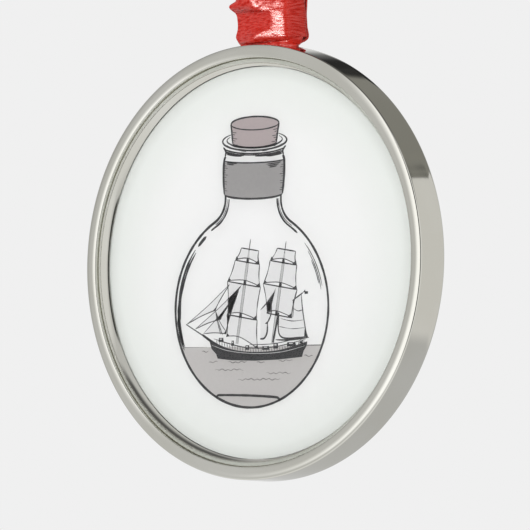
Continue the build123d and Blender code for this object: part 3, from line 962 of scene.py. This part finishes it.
def make_print():
    """All the ink on the face, one piece for each colour and part of the drawing."""
    dark = ink("ink_dark", (0.060, 0.060, 0.062), (0.038, 0.038, 0.040))
    thin = ink("ink_fine", (0.085, 0.085, 0.087), (0.05, 0.05, 0.052))
    cork_ink = ink("ink_cork", (0.475, 0.415, 0.415), (0.455, 0.40, 0.40))
    band_ink = ink("ink_band", (0.375, 0.365, 0.362), (0.352, 0.345, 0.342))
    sea_ink = ink("ink_sea", (0.565, 0.55, 0.54), (0.55, 0.535, 0.525))
    sail_ink = ink("ink_sail", (0.79, 0.79, 0.79), (0.77, 0.77, 0.77))
    mast_ink = ink("ink_mast", (0.56, 0.56, 0.56), (0.50, 0.50, 0.50))
    wave_ink = ink("ink_wave", (0.30, 0.29, 0.285), (0.22, 0.215, 0.21))
    pale_ink = ink("ink_pale", (0.66, 0.66, 0.66), (0.58, 0.58, 0.58))

    cork, band = Ink(*TINT, leaned), Ink(*TINT, leaned)
    bottle, bottle_fine = Ink(*LINES, leaned), Ink(*FINE, leaned)
    sea, sails, masts, hull_light = Ink(*TINT), Ink(0.0, 0.014), Ink(0.0, 0.017), Ink(0.0, 0.030)
    hull, rigging = Ink(*LINES), Ink(*LINES)
    hull_fine, rigging_fine, waves = Ink(*FINE), Ink(*FINE), Ink(*FINE)

    draw_sea(sea, waves)
    draw_cork(cork, bottle, bottle_fine)
    draw_lip(bottle, bottle_fine)
    draw_neck_band(band, bottle, bottle_fine)
    draw_glass(bottle, bottle_fine)
    foot = ((-5.0, -9.75), (-2.6, -10.35), (0.6, -11.45))
    draw_square_sails(sails, masts, rigging, rigging_fine, "fore", foot)
    draw_square_sails(sails, masts, rigging, rigging_fine, "main", None)
    draw_headsails(sails, rigging, rigging_fine)
    draw_fore_and_aft(sails, rigging, rigging_fine)
    draw_hull(hull, hull_light, hull_fine)

    cork.make("print_cork_tint", cork_ink, "ink_cork", "print_cork")
    band.make("print_neck_band_tint", band_ink, "ink_band", "print_neck_band")
    sea.make("print_sea_tint", sea_ink, "ink_sea", "print_sea")
    sails.make("print_sail_tints", sail_ink, "ink_sail", "print_sails")
    masts.make("print_masts", mast_ink, "ink_wave")
    bottle.make("print_bottle_lines", dark, "ink_dark", "print_bottle")
    bottle_fine.make("print_bottle_shading", thin, "ink_dark")
    hull.make("print_hull_ink", dark, "ink_dark", "print_hull")
    hull_fine.make("print_deck_lines", thin, "ink_dark")
    hull_light.make("print_hull_lights", pale_ink, "ink_sail")
    rigging.make("print_spars", dark, "ink_dark", "print_rigging")
    rigging_fine.make("print_rigging_lines", thin, "ink_dark")
    waves.make("print_wave_lines", wave_ink, "ink_wave", "print_waves")


# ---- clear coat ---------------------------------------------------------------------
def make_clear_coat(material):
    """A finely divided dome over the face, with a rounded rim."""
    low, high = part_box("clear_coat")
    crown, back = low.y / MM, high.y / MM
    rise = 0.32
    rim_round = 0.07
    rings, rim_steps, spokes = 40, 4, 192
    sphere = (FACE_RADIUS**2 + rise**2) / (2 * rise)
    profile = [(0.0, crown)]
    for i in range(1, rings + 1):
        r = (FACE_RADIUS - rim_round) * (i / rings) ** 0.7
        profile.append((r, crown + sphere - math.sqrt(sphere**2 - r**2)))
    edge_y = profile[-1][1]
    for i in range(1, rim_steps + 1):
        turn = math.radians(90 * i / rim_steps)
        r = FACE_RADIUS - rim_round + rim_round * math.sin(turn)
        profile.append((r, edge_y + rim_round * (1 - math.cos(turn))))
    profile.append((FACE_RADIUS, back))
    coat = revolved("clear_coat_dome", profile[::-1], spokes, False, material)
    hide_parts("clear_coat")


# ---- ribbon -------------------------------------------------------------------------
RIBBON_WIDTH = 10.0
RIBBON_THICKNESS = 0.3
CURL_START = 0.72
ACROSS = 36
STEPS = 10


def folded(s, ridge, peak):
    """Height of a rounded fold that rises from both edges to a ridge. s and ridge go
    from -1 at the left edge to 1 at the right."""
    sharp = 9
    left, right = (s + 1) / (ridge + 1), (1 - s) / (1 - ridge)
    return -peak * math.log(math.exp(-sharp * left) + math.exp(-sharp * right)) / sharp



def strip_rows(stations):
    """Rows of places across a ribbon, and how far along it each row is. A station has
    the left and right edges' x, their y, the height z, where the fold's ridge is from -1
    to 1, how far the fold stands out, and how far the right edge curls back, if it does."""
    line = smooth_line([(*station, 0.0)[:8] for station in stations], STEPS)
    shares = [-math.cos(math.pi * j / ACROSS) for j in range(ACROSS + 1)]
    rows, lengths, length = [], [], 0.0
    middles = [Vector(((p[0] + p[1]) / 2, (p[2] + p[3]) / 2, p[4])) for p in line]
    for i, (x_left, x_right, y_left, y_right, z, ridge, peak, curl) in enumerate(line):
        tangent = middles[min(i + 1, len(line) - 1)] - middles[max(i - 1, 0)]
        left, right = Vector((x_left, y_left, z)), Vector((x_right, y_right, z))
        outward = tangent.cross(right - left).normalized()
        if i:
            length += (middles[i] - middles[i - 1]).length
        lengths.append(length)
        row = []
        for s in shares:
            ripple = 0.03 * math.sin(2.1 * z + 3.0 * s) * math.sin(1.3 * z - 2.0 * s)
            back = curl * (max(0.0, s - CURL_START) / (1 - CURL_START)) ** 2
            height = folded(s, ridge, peak) + ripple - back
            place = left.lerp(right, (s + 1) / 2) + outward * height
            row.append((place, outward, s))
        rows.append(row)
    return rows, lengths


def strip_mesh(rows, lengths):
    """Points, faces and UVs of a ribbon strip."""
    points, uvs, faces = [], [], []
    edge_share = 0.3  # of the thickness, at the woven edges
    for side in (1, -1):
        for row, along_strip in zip(rows, lengths):
            for place, outward, s in row:
                thick = RIBBON_THICKNESS / 2 * (edge_share if abs(s) > 0.999 else 1)
                points.append(tuple(place + outward * thick * side))
                uvs.append((s * RIBBON_WIDTH / 2, along_strip))
    columns, count = ACROSS + 1, len(rows)
    other = columns * count
    for i in range(count - 1):
        for j in range(ACROSS):
            a = i * columns + j
            quad = (a, a + columns, a + columns + 1, a + 1)
            faces.append(quad)
            faces.append(tuple(k + other for k in reversed(quad)))
        for j, flip in ((0, -1), (ACROSS, 1)):
            a = i * columns + j
            faces.append((a, a + columns, a + columns + other, a + other)[::flip])
    for i, flip in ((0, 1), (count - 1, -1)):
        for j in range(ACROSS):
            a = i * columns + j
            faces.append((a, a + 1, a + 1 + other, a + other)[::flip])
    return points, faces, uvs


def join_strips(name, strips, material):
    """One unparented mesh of several strips."""
    points, faces, uvs = [], [], []
    for part_points, part_faces, part_uvs in strips:
        start = len(points)
        points += part_points
        faces += [tuple(i + start for i in face) for face in part_faces]
        uvs += part_uvs
    made = mesh_object(name, points, faces, material, None, uvs, True)
    made.data.set_sharp_from_angle(angle=math.radians(60))
    return made


TWIST_Z = BAND_TOP + 9.3


def make_ribbon(material):
    """The ribbon: a lower length through the slot and round the rear bead, and two upper
    lengths that form the loop up to the knot."""
    up = BAND_TOP
    in_slot = BAR_FRONT - 0.25
    behind = REAR + 0.75
    under = up - 3.2
    front_foot = (-5.0, 5.0, -1.3, -1.6, TWIST_Z, 0.2, 0.7, 1.4)
    rear_foot = (-5.0, 5.0, 1.9, 1.9, TWIST_Z, 0.0, 0.5)
    lower = [
        front_foot,
        (-4.9, 5.0, -1.3, -0.8, up + 7.6, -0.3, 1.2, 1.8),
        (-4.9, 5.0, -1.2, -0.6, up + 6.4, -0.45, 1.6, 1.9),
        (-5.7, 5.0, -1.6, -0.8, up + 5.6, -0.2, 1.5, 2.0),
        (-5.1, 5.0, -0.9, -1.0, up + 4.7, 0.26, 1.2, 2.1),
        (-4.9, 5.1, -0.75, -1.2, up + 3.6, 0.34, 0.85, 2.2),
        (-4.9, 5.2, -0.8, -1.3, up + 2.5, 0.26, 0.85, 2.2),
        (-5.0, 5.4, -1.0, -1.3, up + 1.5, 0.0, 1.25, 2.3),
        (-4.6, 5.4, -1.1, -1.3, up + 0.9, -0.3, 1.3, 2.1),
        (-4.2, 5.2, -1.0, -1.2, up + 0.35, -0.4, 0.6, 1.3),
        (-3.9, 5.6, in_slot, in_slot, up - 0.3, -0.1, 0.35),
        (-3.9, 6.0, in_slot, in_slot, up - 1.2, 0.0, 0.0),
        (-4.4, 5.6, in_slot, in_slot, under + 0.5, 0.0, 0.0),
        (-4.6, 5.4, in_slot + 0.5, in_slot + 0.5, under, 0.0, 0.0),
        (-4.8, 5.0, behind - 0.5, behind - 0.5, under, 0.0, 0.0),
        (-4.8, 4.8, behind, behind, under + 0.6, 0.0, 0.1),
        (-4.6, 4.4, behind, behind, up - 0.9, 0.0, 0.2),
        (-4.5, 4.1, behind + 0.1, behind + 0.1, up + 0.1, 0.0, 0.3),
        (-4.8, 4.9, 1.7, 1.9, up + 1.0, 0.0, 0.5),
        (-4.9, 4.9, 1.8, 1.7, up + 2.6, 0.2, 0.5),
        (-4.9, 4.9, 1.7, 1.6, up + 4.2, 0.0, 0.4),
        (-4.9, 4.9, 1.7, 1.75, up + 6.2, 0.0, 0.5),
        rear_foot,
    ]
    front_loop = [
        (-3.0, 3.0, -0.4, -0.4, 1.6, 0.0, 0.2),
        (-3.3, 3.3, -0.6, -0.6, 0.3, 0.0, 0.4),
        (-4.0, 4.0, -1.5, -1.5, -1.2, 0.1, 0.5),
        (-4.7, 4.7, -2.8, -2.7, -3.6, 0.1, 0.5),
        (-4.9, 5.0, -3.2, -3.3, -7.0, -0.1, 0.5),
        (-5.0, 5.0, -3.2, -3.1, -12.5, 0.0, 0.6),
        (-5.0, 5.0, -2.3, -2.6, -19.5, 0.1, 0.7),
        (-5.0, 5.0, -1.7, -1.9, -25.0, 0.2, 0.7),
        front_foot,
    ]
    rear_loop = [
        rear_foot,
        (-5.0, 5.0, 2.0, 2.1, -25.0, 0.0, 0.5),
        (-5.0, 5.0, 2.6, 2.5, -19.5, -0.1, 0.6),
        (-5.0, 5.0, 3.1, 3.2, -12.5, 0.0, 0.5),
        (-4.9, 4.9, 3.3, 3.2, -7.0, 0.1, 0.4),
        (-4.6, 4.6, 2.8, 2.8, -3.6, 0.0, 0.4),
        (-4.0, 4.0, 1.5, 1.5, -1.2, 0.0, 0.4),
        (-3.3, 3.3, 0.6, 0.6, 0.3, 0.0, 0.3),
        (-3.0, 3.0, 0.4, 0.4, 1.6, 0.0, 0.1),
    ]
    rows, lengths = strip_rows(front_loop + lower[1:] + rear_loop[1:])
    first = (len(front_loop) - 1) * STEPS
    second = first + (len(lower) - 1) * STEPS
    lengths = [length - lengths[first] for length in lengths]
    front_strip, lower_strip, rear_strip = (
        strip_mesh(rows[a:b], lengths[a:b])
        for a, b in ((0, first + 1), (first, second + 1), (second, len(rows)))
    )
    low = join_strips("ribbon_lower", [lower_strip], material)
    high = join_strips("ribbon_upper", [front_strip, rear_strip], material)
    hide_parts("ribbon_wrap", "ribbon_front_strand", "ribbon_rear_strand")
    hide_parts("ribbon_front_loop", "ribbon_rear_loop")
    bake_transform(low)
    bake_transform(high)
    return low, high


def make_knot(material):
    """An overhand knot in the two ribbon ends: a tight crossing band round the pair,
    folded by its own pull, with the two cut ends fanned out above it."""
    turns, across = 96, 20
    points, faces, uvs = [], [], []
    middle_z = 2.7
    for i in range(turns):
        turn = 2 * math.pi * i / turns
        slope = 0.55 * math.sin(turn + 0.6)
        pinch = 1 - 0.12 * math.cos(2 * turn)
        for j in range(across + 1):
            s = -1 + 2 * j / across
            fold = 0.22 * math.cos(4.5 * s * pinch + 1.2 * math.sin(turn))
            round_off = math.sqrt(max(0.0, 1 - 0.72 * s * s))
            reach_x = (3.15 + fold) * (0.45 + 0.55 * round_off)
            reach_y = (2.15 + fold) * (0.40 + 0.60 * round_off)
            z = middle_z + slope + s * 2.35 * pinch
            points.append((reach_x * math.cos(turn), reach_y * math.sin(turn), z))
            uvs.append((s * RIBBON_WIDTH / 2, turn * 2.7))
    columns = across + 1
    for i in range(turns):
        k = (i + 1) % turns
        for j in range(across):
            a, b = i * columns + j, k * columns + j
            faces.append((a, b, b + 1, a + 1))
    for j, flip in ((0, 1), (across, -1)):
        ring = [i * columns + j for i in range(turns)]
        points.append((0, 0, sum(points[i][2] for i in ring) / turns))
        uvs.append((0, 0))
        hub = len(points) - 1
        for i in range(turns):
            tri = (hub, ring[(i + 1) % turns], ring[i])
            faces.append(tri[::flip])
    knot = mesh_object("ribbon_knot_wrap", points, faces, material, "hanger", uvs, True)
    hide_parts("ribbon_knot")
    tails = []
    for way, name in ((-1, "left"), (1, "right")):
        y = way * -0.5
        stations = [
            (way * 0.3 - 2.4, way * 0.3 + 2.4, y * 0.4, y * 0.4, 3.8, 0.0, 0.4),
            (way * 0.9 - 3.1, way * 0.9 + 3.1, y * 1.2, y, 6.0, 0.2, 0.8),
            (way * 2.1 - 4.0, way * 2.1 + 4.0, y * 1.6, y, 9.0, -0.1, 0.8),
            (way * 3.6 - 4.5, way * 3.6 + 4.5, y, y * 1.7, 12.5, 0.0, 0.6),
            (way * 5.0 - 4.6, way * 5.0 + 4.6, y, y * 1.5, 16.2, 0.1, 0.4),
        ]
        tail = join_strips(f"ribbon_{name}_end", [strip_mesh(*strip_rows(stations))], material)
        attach(tail, "hanger")
        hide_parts(f"ribbon_{name}_tail")
        tails.append(tail)
    return knot, tails


# ---- putting it together ------------------------------------------------------------
def paint(node, material):
    """Gives a CAD node a material."""
    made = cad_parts[node]
    made.data.materials.clear()
    made.data.materials.append(material)


make_camera()
satin_material = satin()
lower_ribbon, upper_ribbon = make_ribbon(satin_material)
knot, tails = make_knot(satin_material)
satin_pieces = bpy.data.collections.new("satin_pieces")
for piece in (lower_ribbon, upper_ribbon, knot, *tails):
    satin_pieces.objects.link(piece)
make_stage(satin_pieces)
make_frame(plated_metal())
paint("white_base", white_coating())
paint("face_disc", sheet_metal())
paint("adhesive_pad", adhesive())
make_clear_coat(clear_coating())
make_print()
